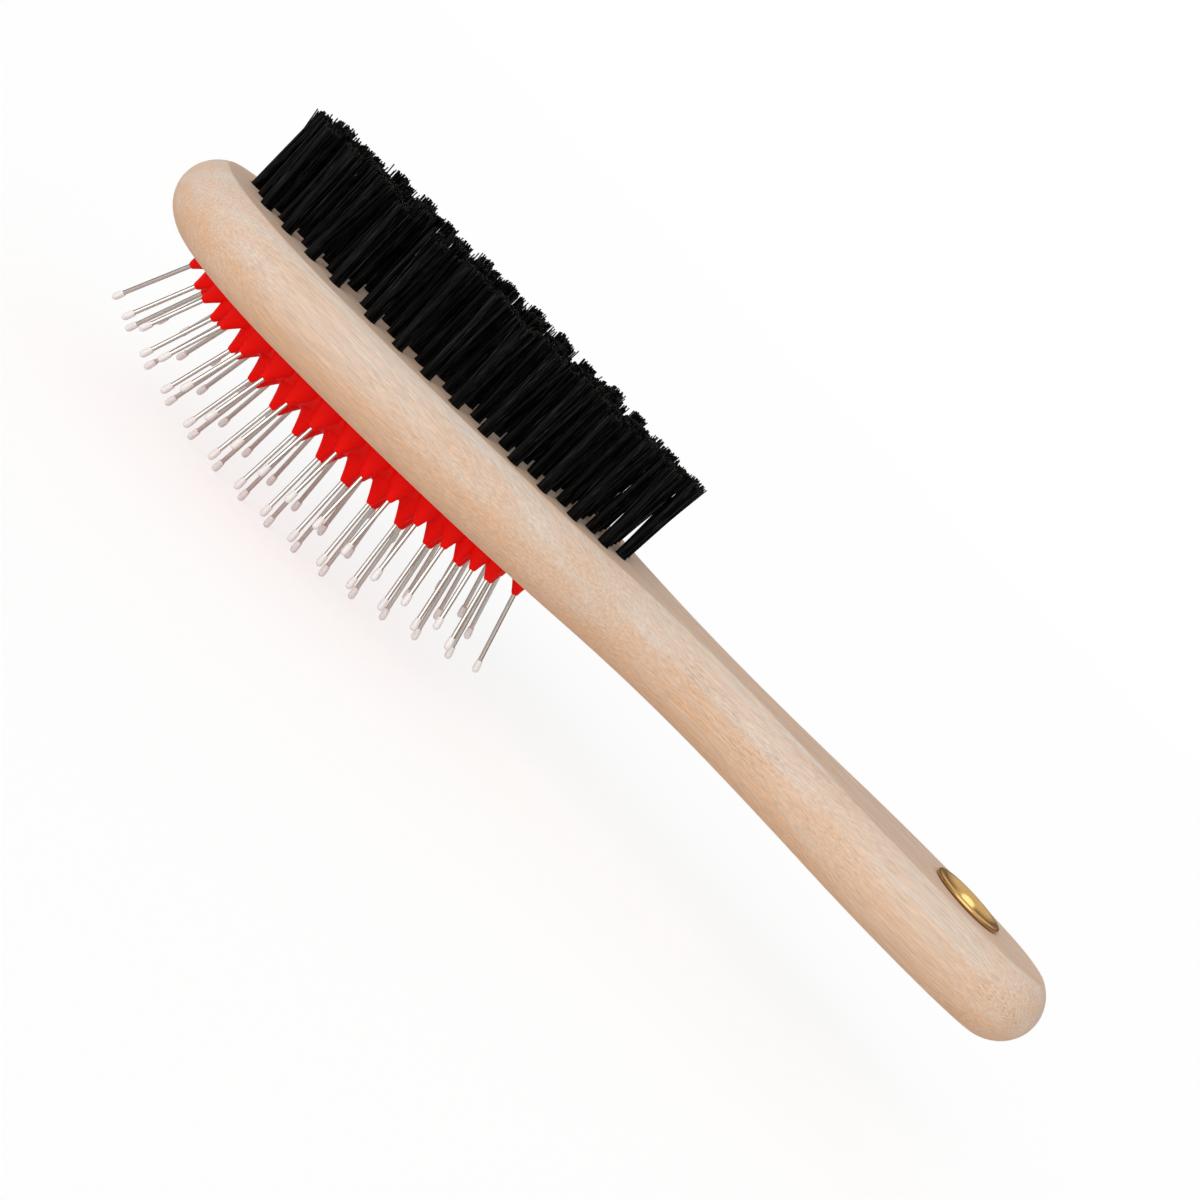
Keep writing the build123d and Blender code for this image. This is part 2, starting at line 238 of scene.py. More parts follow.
def edit_all(obj, kind):
    """Goes into edit mode with all of one object selected, as VERT, EDGE or FACE."""
    choose(obj)
    bpy.ops.object.mode_set(mode="EDIT")
    bpy.ops.mesh.select_mode(type=kind)
    bpy.ops.mesh.select_all(action="SELECT")


def apply_modifier(obj, kind, **settings):
    """Adds a modifier, sets it and applies it."""
    choose(obj)
    modifier = obj.modifiers.new(kind.title(), kind)
    for name, value in settings.items():
        setattr(modifier, name, value)
    bpy.ops.object.modifier_apply(modifier=modifier.name)


def smooth(obj, degrees):
    """Shades smooth, apart from edges sharper than this."""
    choose(obj)
    bpy.ops.object.shade_smooth_by_angle(angle=math.radians(degrees))


def finish_piece(obj, name, material, slot, body, *nodes):
    """Names a piece, gives it its material and body, and hides the CAD nodes that it stands for."""
    obj.name = name
    obj.data.materials.clear()
    obj.data.materials.append(material)
    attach(obj, body)
    if nodes:
        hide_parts(*nodes)


def clusters(node):
    """The separate solids of a CAD node, each as a list of its corners, in a fixed order."""
    shape = bmesh.new()
    shape.from_mesh(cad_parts[node].data)
    bmesh.ops.remove_doubles(shape, verts=shape.verts, dist=0.001 * MM)
    left = set(shape.verts)
    found = []
    while left:
        reached = {left.pop()}
        edge = list(reached)
        while edge:
            beside = {link.other_vert(vert) for vert in edge for link in vert.link_edges} - reached
            reached |= beside
            edge = list(beside)
        left -= reached
        found.append([vert.co.copy() for vert in reached])
    shape.free()
    return sorted(found, key=lambda corners: tuple(round(value, 6) for value in min(corners)))


def middle_of(corners):
    return sum(corners, Vector()) / len(corners)


def copies(prototype, placements, name):
    """One mesh object of copies of a prototype, each moved by a function of its own."""
    joined = bmesh.new()
    for place in placements:
        before = len(joined.verts)
        joined.from_mesh(prototype.data)
        joined.verts.ensure_lookup_table()
        for vert in joined.verts[before:]:
            vert.co = place(vert.co)
    mesh = bpy.data.meshes.new(name)
    joined.to_mesh(mesh)
    joined.free()
    made = bpy.data.objects.new(name, mesh)
    bpy.context.collection.objects.link(made)
    return made


def turned(name, profile, steps):
    """A surface of revolution round Z through (radius, height) points, in metres."""
    bpy.ops.mesh.primitive_circle_add(vertices=3, radius=1)
    made = bpy.context.object
    made.name = name
    edit_all(made, "VERT")
    bpy.ops.mesh.delete(type="VERT")
    bpy.ops.object.mode_set(mode="OBJECT")
    made.data.from_pydata([(radius, 0, height) for radius, height in profile],
                          [(i, i + 1) for i in range(len(profile) - 1)], [])
    edit_all(made, "VERT")
    bpy.ops.mesh.spin(steps=steps, angle=2 * math.pi, center=(0, 0, 0), axis=(0, 0, 1))
    bpy.ops.mesh.select_all(action="SELECT")
    bpy.ops.mesh.remove_doubles(threshold=0.002 * MM)
    bpy.ops.mesh.normals_make_consistent(inside=False)
    bpy.ops.object.mode_set(mode="OBJECT")
    return made


# ---- materials ----
def new_material(name):
    """An empty node material: (material, node tree, Principled shader, object coordinates)."""
    material = bpy.data.materials.new(name)
    material.use_nodes = True
    tree = material.node_tree
    shader = tree.nodes["Principled BSDF"]
    return material, tree, shader, add_node(tree, "ShaderNodeTexCoord").outputs["Object"]


def add_node(tree, kind, sockets=None, **settings):
    """Adds a node, sets it and fills its sockets, each with a value or another node's output."""
    made = tree.nodes.new(kind)
    for name, value in settings.items():
        setattr(made, name, value)
    for name, value in (sockets or {}).items():
        if isinstance(value, bpy.types.NodeSocket):
            tree.links.new(value, made.inputs[name])
        else:
            made.inputs[name].default_value = value
    return made


def along_grain(tree, place, length, width):
    """Object coordinates in units of a grain feature this long, along X, and this wide, in mm."""
    scale = (1 / (length * MM), 1 / (width * MM), 1 / (width * MM))
    return add_node(tree, "ShaderNodeMapping", {"Vector": place, "Scale": scale}).outputs["Vector"]


def beech(settings):
    """Beech, machined and sanded: pale, satin, with fibres and short dark pores; painted warm shade
    on the lower side and the flat face.
    """
    material, tree, shader, place = new_material("Sanded beech")
    axes = add_node(tree, "ShaderNodeSeparateXYZ", {"Vector": place})
    bands = add_node(tree, "ShaderNodeTexNoise", {
        "Vector": along_grain(tree, place, 90, 4), "Scale": 1, "Detail": 6, "Roughness": 0.62})
    bands_share = add_node(tree, "ShaderNodeMapRange", {
        "Value": bands.outputs["Fac"], "From Min": 0.35, "From Max": 0.65})
    fibres = add_node(tree, "ShaderNodeTexNoise", {
        "Vector": along_grain(tree, place, 7, 0.28), "Scale": 1, "Detail": 4, "Roughness": 0.7})
    # The darker flecks are pores 2 mm long and 0.2 mm wide, closest together in the handle.
    pores = add_node(tree, "ShaderNodeTexNoise", {
        "Vector": along_grain(tree, place, 2.0, 0.2), "Scale": 1, "Detail": 1, "Roughness": 0.5})
    patches = add_node(tree, "ShaderNodeTexNoise", {
        "Vector": along_grain(tree, place, 30, 8), "Scale": 1, "Detail": 1})
    handle = add_node(tree, "ShaderNodeMapRange", {
        "Value": axes.outputs["X"],
        "From Min": -20 * MM, "From Max": 60 * MM, "To Min": 0.0, "To Max": 0.1})
    crowding = add_node(tree, "ShaderNodeMath", {
        0: patches.outputs["Fac"], 1: handle.outputs["Result"]}, operation="ADD")
    threshold = add_node(tree, "ShaderNodeMath", {
        0: pores.outputs["Fac"], 1: crowding.outputs["Value"]}, operation="ADD")
    pore_share = add_node(tree, "ShaderNodeMapRange", {
        "Value": threshold.outputs["Value"], "From Min": 1.25, "From Max": 1.45, "To Max": 0.42})
    # Painted shade: the side is drawn warmer towards the underside, as the light falls from above.
    painted_low_shade = add_node(tree, "ShaderNodeMapRange", {
        "Value": axes.outputs["Z"],
        "From Min": UNDERSIDE_Z, "From Max": FACE_Z, "To Min": 0.85, "To Max": 0.0})
    # Painted shade: the flat face above is drawn warmer than the side, as it faces away from the
    # light.
    painted_face_shade = add_node(tree, "ShaderNodeMapRange", {
        "Value": axes.outputs["Z"],
        "From Min": FACE_Z - 0.3 * MM, "From Max": FACE_Z - 0.05 * MM, "To Max": 0.35})
    painted_warm_shade = add_node(tree, "ShaderNodeMath", {
        0: painted_low_shade.outputs["Result"], 1: painted_face_shade.outputs["Result"]}, operation="ADD")
    # Real bands of the grain, plus the painted shade of the lower side and the face.
    bands_and_painted_shade = add_node(tree, "ShaderNodeMath", {
        0: bands_share.outputs["Result"], 1: 0.5, 2: painted_warm_shade.outputs["Value"]},
        operation="MULTIPLY_ADD", use_clamp=True)
    wood = add_node(tree, "ShaderNodeMix", {
        "Factor": bands_and_painted_shade.outputs["Value"], "A": (*settings.pale, 1), "B": (*settings.warm, 1)},
        data_type="RGBA")
    streak = add_node(tree, "ShaderNodeMapRange", {
        "Value": fibres.outputs["Fac"],
        "From Min": 0.3, "From Max": 0.7, "To Min": 0.78, "To Max": 1.15})
    streaked = add_node(tree, "ShaderNodeVectorMath", {
        0: wood.outputs["Result"], "Scale": streak.outputs["Result"]}, operation="SCALE")
    colour = add_node(tree, "ShaderNodeMix", {
        "Factor": pore_share.outputs["Result"], "A": streaked.outputs["Vector"],
        "B": (*settings.pore, 1)}, data_type="RGBA")
    relief = add_node(tree, "ShaderNodeMath", {
        0: pore_share.outputs["Result"], 1: -0.3, 2: fibres.outputs["Fac"]},
        operation="MULTIPLY_ADD")
    bump = add_node(tree, "ShaderNodeBump", {
        "Height": relief.outputs["Value"], "Strength": 0.35, "Distance": 0.06 * MM})
    roughness = add_node(tree, "ShaderNodeMapRange", {
        "Value": fibres.outputs["Fac"], "To Min": 0.5, "To Max": 0.68})
    tree.links.new(colour.outputs["Result"], shader.inputs["Base Color"])
    tree.links.new(roughness.outputs["Result"], shader.inputs["Roughness"])
    tree.links.new(bump.outputs["Normal"], shader.inputs["Normal"])
    shader.inputs["IOR"].default_value = 1.5
    shader.inputs["Specular IOR Level"].default_value = 0.3
    return material


def moulded_rubber(settings):
    """Natural rubber from a polished mould: saturated red, with a soft gloss and a faint bloom."""
    material, tree, shader, place = new_material("Moulded rubber")
    bloom = add_node(tree, "ShaderNodeTexNoise", {
        "Vector": place, "Scale": 1 / (6 * MM), "Detail": 4, "Roughness": 0.6})
    tone = add_node(tree, "ShaderNodeMapRange", {
        "Value": bloom.outputs["Fac"], "To Min": 0.9, "To Max": 1.1})
    colour = add_node(tree, "ShaderNodeVectorMath", {
        0: tuple(settings.rubber), "Scale": tone.outputs["Result"]}, operation="SCALE")
    skin = add_node(tree, "ShaderNodeTexNoise", {
        "Vector": place, "Scale": 1 / (0.5 * MM), "Detail": 2})
    bump = add_node(tree, "ShaderNodeBump", {
        "Height": skin.outputs["Fac"], "Strength": 0.15, "Distance": 0.04 * MM})
    roughness = add_node(tree, "ShaderNodeMapRange", {
        "Value": bloom.outputs["Fac"], "To Min": 0.42, "To Max": 0.58})
    tree.links.new(colour.outputs["Vector"], shader.inputs["Base Color"])
    tree.links.new(roughness.outputs["Result"], shader.inputs["Roughness"])
    tree.links.new(bump.outputs["Normal"], shader.inputs["Normal"])
    shader.inputs["IOR"].default_value = 1.52
    shader.inputs["Specular IOR Level"].default_value = 0.08
    return material


def metal(name, tone, grain, low, high):
    """A metal whose roughness wanders between two values over marks of one size in mm."""
    material, tree, shader, place = new_material(name)
    marks = add_node(tree, "ShaderNodeTexNoise", {
        "Vector": place, "Scale": 1 / (grain * MM), "Detail": 3, "Roughness": 0.6})
    roughness = add_node(tree, "ShaderNodeMapRange", {
        "Value": marks.outputs["Fac"],
        "From Min": 0.3, "From Max": 0.7, "To Min": low, "To Max": high})
    shade = add_node(tree, "ShaderNodeMapRange", {
        "Value": marks.outputs["Fac"], "To Min": 0.86, "To Max": 1.08})
    colour = add_node(tree, "ShaderNodeVectorMath", {
        0: tuple(tone), "Scale": shade.outputs["Result"]}, operation="SCALE")
    tree.links.new(colour.outputs["Vector"], shader.inputs["Base Color"])
    tree.links.new(roughness.outputs["Result"], shader.inputs["Roughness"])
    shader.inputs["Metallic"].default_value = 1.0
    return material


def milky_plastic(settings):
    """Polyethylene bead moulded over the wire: milky white, with a waxy gloss."""
    material, tree, shader, place = new_material("Milky polyethylene")
    cloud = add_node(tree, "ShaderNodeTexNoise", {
        "Vector": place, "Scale": 1 / (1.2 * MM), "Detail": 2})
    tone = add_node(tree, "ShaderNodeMapRange", {
        "Value": cloud.outputs["Fac"], "To Min": 0.92, "To Max": 1.04})
    colour = add_node(tree, "ShaderNodeVectorMath", {
        0: tuple(settings.plastic), "Scale": tone.outputs["Result"]}, operation="SCALE")
    tree.links.new(colour.outputs["Vector"], shader.inputs["Base Color"])
    shader.inputs["Roughness"].default_value = 0.38
    shader.inputs["IOR"].default_value = 1.51
    return material


def black_nylon(settings):
    """Nylon filament, drawn and cut: nearly black, with a soft shine along each filament, and
    painted highlights on a few filaments and on the cut ends.
    """
    material, tree, shader, place = new_material("Black nylon filament")
    # One filament differs from the next, and a few are drawn much lighter along their length:
    # painted highlights for the light they catch.
    across, along = 1 / (0.18 * MM), 1 / (9 * MM)
    lengthwise = add_node(tree, "ShaderNodeMapping", {
        "Vector": place, "Scale": (across, across, along)})
    single = add_node(tree, "ShaderNodeTexNoise", {
        "Vector": lengthwise.outputs["Vector"], "Scale": 1, "Detail": 1})
    tone = add_node(tree, "ShaderNodeMapRange", {
        "Value": single.outputs["Fac"],
        "From Min": 0.55, "From Max": 0.8, "To Min": 0.5, "To Max": 26})
    sides = add_node(tree, "ShaderNodeVectorMath", {
        0: tuple(settings.nylon), "Scale": tone.outputs["Result"]}, operation="SCALE")
    # Painted highlight: the cut ends are drawn pale grey, for the glints on them.
    facing = add_node(tree, "ShaderNodeTexCoord").outputs["Normal"]
    cut = add_node(tree, "ShaderNodeMath", {
        0: add_node(tree, "ShaderNodeSeparateXYZ", {"Vector": facing}).outputs["Z"], 1: 0.9},
        operation="GREATER_THAN")
    colour = add_node(tree, "ShaderNodeMix", {
        "Factor": cut.outputs["Value"], "A": sides.outputs["Vector"], "B": (*linear("#6E6964"), 1)},
        data_type="RGBA")
    roughness = add_node(tree, "ShaderNodeMapRange", {
        "Value": single.outputs["Fac"],
        "From Min": 0.3, "From Max": 0.7, "To Min": 0.3, "To Max": 0.5})
    tree.links.new(colour.outputs["Result"], shader.inputs["Base Color"])
    tree.links.new(roughness.outputs["Result"], shader.inputs["Roughness"])
    shader.inputs["IOR"].default_value = 1.53
    shader.inputs["Specular IOR Level"].default_value = 0.1
    return material


# ---- wooden body ----
def half_outline(step):
    """Points of the widest outline's +Y edge, from the head tip to the handle end, in mm."""
    place, heading = Vector((BODY_LOW[0] / MM, 0)), math.pi / 2
    points = [place]
    for radius, turn in (*OUTLINE_ARCS, (None, None)):
        if radius is None:
            radius = place.y / math.cos(heading)
            turn = 90 + math.degrees(heading)
        turn = math.copysign(math.radians(turn), radius)
        centre = place + Vector((math.sin(heading), -math.cos(heading))) * radius
        count = max(2, round(abs(turn * radius) / step))
        for i in range(1, count + 1):
            ahead = heading - turn * i / count
            points.append(centre + Vector((-math.sin(ahead), math.cos(ahead))) * radius)
        place, heading = points[-1], ahead
    return points


def oval_cutter(growth, low, high):
    """An upright oval prism, the cushion's plan grown all round by some mm, as a cutting tool."""
    bpy.ops.mesh.primitive_cylinder_add(
        vertices=128, radius=1, depth=high - low,
        location=(CUSHION_X * MM, 0, (low + high) / 2),
        scale=((CUSHION_HALF_LENGTH + growth) * MM, (CUSHION_HALF_WIDTH + growth) * MM, 1))
    cutter = bpy.context.object
    choose(cutter)
    bpy.ops.object.transform_apply(location=True, rotation=True, scale=True)
    return cutter


def tuft_places():
    """Row name to the (x, y) of its tufts, from the undersides of the CAD rows' folded roots."""
    places = {}
    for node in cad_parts:
        if node.startswith("bristle_row_"):
            roots = [middle_of(sorted(corners, key=lambda corner: corner.z)[:4])
                     for corners in clusters(node)]
            places[node.removeprefix("bristle_row_")] = [(root.x, root.y) for root in roots]
    return places


class BRUSH_OT_wooden_body(bpy.types.Operator):
    """One-piece beech body: rounded sides, flat faces, drilled holes, pocket and eyelet hole"""
    bl_idname = "brush.wooden_body"
    bl_label = "Wooden body"

    def execute(self, context):
        settings = context.scene.brush_body
        edge = half_outline(OUTLINE_STEP)
        loop = [*edge, *[Vector((point.x, -point.y)) for point in reversed(edge[1:-1])]]
        deselect()
        bpy.ops.mesh.primitive_circle_add(vertices=len(loop), radius=1, fill_type="NGON")
        body = context.object
        for vert, point in zip(body.data.vertices, loop):
            vert.co = (point.x * MM, point.y * MM, 0)
        # The side is one arc from the widest outline up to the flat face, inset ring by ring.
        half = (FACE_Z - UNDERSIDE_Z) / 2
        radius = (half**2 + settings.side_bulge**2) / (2 * settings.side_bulge)
        reach = math.asin(half / radius)
        edit_all(body, "FACE")
        if body.data.polygons[0].normal.z < 0:
            bpy.ops.mesh.flip_normals()
        for i in range(SIDE_RINGS):
            below, above = reach * i / SIDE_RINGS, reach * (i + 1) / SIDE_RINGS
            bpy.ops.mesh.inset(
                thickness=radius * (math.cos(below) - math.cos(above)),
                depth=radius * (math.sin(above) - math.sin(below)))
        bpy.ops.object.mode_set(mode="OBJECT")
        apply_modifier(body, "MIRROR", use_axis=(False, False, True), use_clip=True,
                       merge_threshold=0.01 * MM)
        apply_modifier(body, "BEVEL", width=settings.edge_softness, segments=3,
                       limit_method="ANGLE", angle_limit=math.radians(15))
        body.location.z = MIDDLE_Z
        choose(body)
        bpy.ops.object.transform_apply(location=True, rotation=False, scale=False)
        bpy.ops.object.mode_set(mode="EDIT")
        bpy.ops.mesh.select_all(action="SELECT")
        bpy.ops.mesh.normals_make_consistent(inside=False)
        bpy.ops.object.mode_set(mode="OBJECT")
        cutters = [oval_cutter(POCKET_ROOM, UNDERSIDE_Z - MM, UNDERSIDE_Z + POCKET_DEPTH * MM)]
        eyelet = settings_of("eyelet")
        bpy.ops.mesh.primitive_cylinder_add(
            vertices=96, radius=eyelet.bore_radius + eyelet.metal + EYELET_ROOM * MM,
            depth=40 * MM, location=(EYELET_X, 0, MIDDLE_Z))
        cutters.append(context.object)
        for row in tuft_places().values():
            for x, y in row:
                bpy.ops.mesh.primitive_cylinder_add(
                    vertices=20, radius=settings.tuft_hole, depth=2 * TUFT_HOLE_DEPTH * MM,
                    location=(x, y, FACE_Z))
                cutters.append(context.object)
        choose(*cutters)
        bpy.ops.object.join()
        cutter = context.object
        bpy.ops.object.transform_apply(location=True, rotation=True, scale=True)
        apply_modifier(body, "BOOLEAN", object=cutter, operation="DIFFERENCE", solver="EXACT")
        bpy.data.objects.remove(cutter)
        smooth(body, 20)
        apply_modifier(body, "WEIGHTED_NORMAL", keep_sharp=True)
        finish_piece(body, "beech_body", beech(settings), "wood", "brush", "wooden_body")
        return {"FINISHED"}


# ---- rubber cushion ----
def dome_height(x, y, crown_height):
    """How far the dome stands below the wood at a place, all in mm."""
    towards_head = x < CROWN_X
    end = CUSHION_X - CUSHION_HALF_LENGTH if towards_head else CUSHION_X + CUSHION_HALF_LENGTH
    power = CROWN_HEAD_POWER if towards_head else CROWN_NECK_POWER
    along = min(abs((x - CROWN_X) / (end - CROWN_X)), 1)
    return crown_height * (1 - along**power) - CROWN_DROP * (y / CUSHION_HALF_WIDTH) ** 2


def pin_lines(group):
    """(head end, direction, length) of each wire of a group, from its CAD solids."""
    lines = []
    for corners in clusters(f"{group}_pin_wires"):
        end = middle_of(sorted(corners, key=lambda corner: corner.z)[:5])
        head = middle_of(sorted(corners, key=lambda corner: -(corner - end).length)[:5])
        lines.append((head, (end - head).normalized(), (end - head).length))
    return lines


def along_axis(origin, direction):
    """Matrix that puts a piece modelled along +Z from its origin along a direction."""
    return Matrix.Translation(origin) @ direction.to_track_quat("Z", "Y").to_matrix().to_4x4()


def placed_by(matrix):
    """Function that moves a corner by a matrix."""
    return lambda corner: matrix @ corner


class BRUSH_OT_rubber_cushion(bpy.types.Operator):
    """Domed red rubber cushion with a tapered nub round each pin"""
    bl_idname = "brush.rubber_cushion"
    bl_label = "Rubber cushion"

    def execute(self, context):
        settings = context.scene.brush_cushion
        crown = settings.crown_height / MM
        deselect()
        # Half a ball, drawn out to the oval plan and then down to the dome's height.
        bpy.ops.mesh.primitive_uv_sphere_add(segments=160, ring_count=64, radius=1)
        dome = context.object
        bpy.ops.object.mode_set(mode="EDIT")
        bpy.ops.mesh.select_all(action="SELECT")
        bpy.ops.mesh.bisect(plane_co=(0, 0, 0), plane_no=(0, 0, 1), clear_outer=True)
        bpy.ops.object.mode_set(mode="OBJECT")
        for vert in dome.data.vertices:
            x = CUSHION_X + CUSHION_HALF_LENGTH * vert.co.x
            y = CUSHION_HALF_WIDTH * vert.co.y
            vert.co = (x * MM, y * MM, UNDERSIDE_Z - dome_height(x, y, crown) * MM)
        # The rim goes straight up into the pocket.
        bpy.ops.object.mode_set(mode="EDIT")
        bpy.ops.mesh.select_mode(type="EDGE")
        bpy.ops.mesh.select_all(action="DESELECT")
        bpy.ops.mesh.select_non_manifold(extend=False)
        bpy.ops.mesh.extrude_region_move(
            TRANSFORM_OT_translate={"value": (0, 0, RIM_HEIGHT * MM)})
        bpy.ops.mesh.select_all(action="SELECT")
        bpy.ops.mesh.normals_make_consistent(inside=False)
        bpy.ops.object.mode_set(mode="OBJECT")
        if min(dome.data.polygons, key=lambda face: face.center.z).normal.z > 0:
            bpy.ops.object.mode_set(mode="EDIT")
            bpy.ops.mesh.flip_normals()
            bpy.ops.object.mode_set(mode="OBJECT")
        apply_modifier(dome, "SOLIDIFY", thickness=WALL * MM, offset=-1)
        smooth(dome, 50)
        rubber = moulded_rubber(settings)
        finish_piece(dome, "air_cushion", rubber, "red_rubber", "brush", "rubber_cushion")
        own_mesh(dome)
        # The nubs keep their length and sink with their pins.
        for group in PIN_GROUPS:
            profile = ((NUB_FEET[group], NUB_FOOT_START), *NUB_PROFILE)
            nub = turned(
                "nub", [(radius * MM, height * MM) for radius, height in profile], steps=20)
            nubs = copies(nub, [
                placed_by(along_axis(head + direction * WIRE_START * MM, direction))
                for head, direction, _ in pin_lines(group)], "nubs")
            bpy.data.objects.remove(nub)
            smooth(nubs, 50)
            finish_piece(nubs, f"{group}_nubs", rubber, "red_rubber", f"{group}_pins")
        return {"FINISHED"}


# ---- pins ----
class BRUSH_OT_pins(bpy.types.Operator):
    """Steel wire pins with plastic beads, in the three groups that sink together"""
    bl_idname = "brush.pins"
    bl_label = "Pins"

    def execute(self, context):
        settings = context.scene.brush_pins
        steel = metal("Drawn steel wire", settings.steel, grain=0.8, low=0.14, high=0.26)
        plastic = milky_plastic(settings)
        full = settings.tip_radius
        bead_profile = [(share * full, height * MM) for share, height in BEAD_PROFILE]
        deselect()
        for group in PIN_GROUPS:
            lines = pin_lines(group)
            wires = []
            for head, direction, length in lines:
                start, end = WIRE_START * MM, length + WIRE_IN_BEAD * MM
                bpy.ops.mesh.primitive_cylinder_add(
                    vertices=14, radius=settings.wire_radius, depth=end - start,
                    end_fill_type="TRIFAN")
                wire = context.object
                wire.data.transform(along_axis(head + direction * (start + end) / 2, direction))
                wires.append(wire)
            choose(*wires)
            bpy.ops.object.join()
            wire = context.object
            smooth(wire, 40)
            finish_piece(wire, f"{group}_wires", steel, "steel_wire", f"{group}_pins",
                         f"{group}_pin_wires")
            bead = turned("bead", bead_profile, steps=16)
            beads = copies(bead, [
                placed_by(along_axis(head + direction * length, direction))
                for head, direction, length in lines], "beads")
            bpy.data.objects.remove(bead)
            smooth(beads, 60)
            finish_piece(beads, f"{group}_beads", plastic, "white_plastic", f"{group}_pins",
                         f"{group}_pin_tips")
        return {"FINISHED"}


# ---- bristles ----
class BRUSH_OT_bristles(bpy.types.Operator):
    """Rows of black nylon tufts, bundles of filaments that spread a little and end unevenly"""
    bl_idname = "brush.bristles"
    bl_label = "Bristles"

    def execute(self, context):
        settings = context.scene.brush_bristles
        nylon = black_nylon(settings)
        chance = random.Random(SEED)
        deselect()
        # One filament, 1 m high until it is bent to its length, with two joints in its height.
        bpy.ops.mesh.primitive_cylinder_add(vertices=3, radius=settings.filament_radius, depth=1,
                                            location=(0, 0, 0.5))
        filament = context.object
        choose(filament)
        bpy.ops.object.transform_apply(location=True, rotation=True, scale=True)
        bpy.ops.object.mode_set(mode="EDIT")
        for height in (0.35, 0.7):
            bpy.ops.mesh.select_all(action="SELECT")
            bpy.ops.mesh.bisect(plane_co=(0, 0, height), plane_no=(0, 0, 1))
        bpy.ops.object.mode_set(mode="OBJECT")
        for name, places in tuft_places().items():
            bends = []
            for x, y in places:
                bends += self.tuft(settings, chance, Vector((x, y, FACE_Z)))
            row = copies(filament, bends, "row")
            smooth(row, 80)
            finish_piece(row, f"tufts_{name}", nylon, "black_nylon", "brush", f"bristle_row_{name}")
        bpy.data.objects.remove(filament)
        return {"FINISHED"}

    def tuft(self, settings, chance, foot):
        """One bending function for each filament of a tuft."""
        lean = Vector((chance.gauss(*LEAN_ALONG), chance.gauss(*LEAN_ACROSS)))
        spin = chance.uniform(0, 2 * math.pi)
        trim = chance.uniform(*TUFT_TRIM) * MM
        bends = []
        for k in range(settings.filaments):
            share = math.sqrt((k + 0.5) / settings.filaments)
            angle = spin + k * GOLDEN_ANGLE
            root = Vector((math.cos(angle), math.sin(angle))) * share
            loose = LOOSE_FACTOR if chance.random() < LOOSE_SHARE else 1.0
            stray = Vector((chance.gauss(*STRAY), chance.gauss(*STRAY))) * loose
            out = root * FAN + lean + stray
            curl = Vector((chance.gauss(*CURL), chance.gauss(*CURL))) * loose
            length = settings.length + trim + chance.uniform(*FILAMENT_TRIM) * MM
            bends.append(self.bend(foot, root * settings.tuft_radius, out, curl, length, angle))
        return bends

    @staticmethod
    def bend(foot, root, out, curl, length, turn):
        """Function that puts a corner of the upright filament where it is in its tuft."""
        spin = Matrix.Rotation(turn, 3, "Z")

        def place(corner):
            up = corner.z
            height = up * (length + ROOT_DEPTH * MM) - ROOT_DEPTH * MM
            side = spin @ Vector((corner.x, corner.y, 0))
            drift = out * height + curl * height * up * 2
            return Vector((foot.x + root.x + drift.x + side.x, foot.y + root.y + drift.y + side.y,
                           foot.z + height))
        return place


# ---- eyelet ----
class BRUSH_OT_eyelet(bpy.types.Operator):
    """Brass eyelet, rolled at the top and clinched over a washer below, and the hidden staples"""
    bl_idname = "brush.eyelet"
    bl_label = "Eyelet and washer"

    def execute(self, context):
        settings = context.scene.brush_eyelet
        brass = metal("Lacquered brass", settings.brass, grain=2.5, low=0.17, high=0.3)
        deselect()
        bore, flange, sheet = settings.bore_radius, settings.flange_radius, settings.metal
        high, low = EYELET_HIGH[2], EYELET_LOW[2]
        rise = high - FACE_Z
        # Funnel from the bore up to the rolled crest, round its rim and back under to the wood.
        throat, throat_z = bore + 0.1 * MM, FACE_Z - FUNNEL_DEPTH * MM
        profile = [(bore, low + 0.15 * MM), (bore, throat_z - MM), (throat, throat_z)]
        for share in (0.15, 0.35, 0.55, 0.75, 0.9):
            turn = share * math.pi / 2
            profile.append((throat + FUNNEL_FLARE * MM * (1 - math.cos(turn)),
                            throat_z + (high - throat_z) * math.sin(turn)))
        for degrees in (90, 60, 30, 0, -30):
            turn = math.radians(degrees)
            profile.append((flange - ROLL * MM + ROLL * MM * math.cos(turn),
                            FACE_Z + rise / 2 + rise / 2 * math.sin(turn)))
        profile += [(flange - 0.8 * MM, FACE_Z), (bore + sheet, FACE_Z)]
        # Down the outside of the barrel, and clinched outwards over the washer.
        clinch, clinch_z = CLINCH_RADIUS * MM, UNDERSIDE_Z - WASHER * MM
        profile += [(bore + sheet, clinch_z), (clinch, clinch_z)]
        profile += [(clinch + 0.2 * MM, clinch_z - 0.2 * MM), (clinch, low), (bore + sheet, low)]
        profile.append(profile[0])
        eyelet = turned("eyelet", profile, steps=72)
        eyelet.data.transform(Matrix.Translation((EYELET_X, 0, 0)))
        smooth(eyelet, 35)
        finish_piece(eyelet, "rolled_eyelet", brass, "brass", "brush", "hanging_eyelet")
        # The washer and the staples keep their CAD shapes, and only get their metals here.
        staple = metal("Flat staple wire", settings_of("pins").steel, grain=0.8, low=0.3, high=0.45)
        for name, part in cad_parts.items():
            if name == "eyelet_washer" or name.startswith("tuft_anchors_"):
                part.data.materials.clear()
                part.data.materials.append(brass if name == "eyelet_washer" else staple)
        return {"FINISHED"}


# ---- studio ----
def soft_light(name, bearing, height, strength, spread, colour):
    """A broad far light from a bearing and height in degrees, even over the whole floor."""
    light = bpy.data.lights.new(name, "SUN")
    light.energy = strength
    light.angle = math.radians(spread)
    light.color = colour
    holder = bpy.data.objects.new(name, light)
    bpy.context.collection.objects.link(holder)
    turn, rise = math.radians(bearing), math.radians(height)
    towards = Vector((math.sin(turn) * math.cos(rise), -math.cos(turn) * math.cos(rise),
                      math.sin(rise)))
    holder.rotation_euler = towards.to_track_quat("Z", "Y").to_euler()


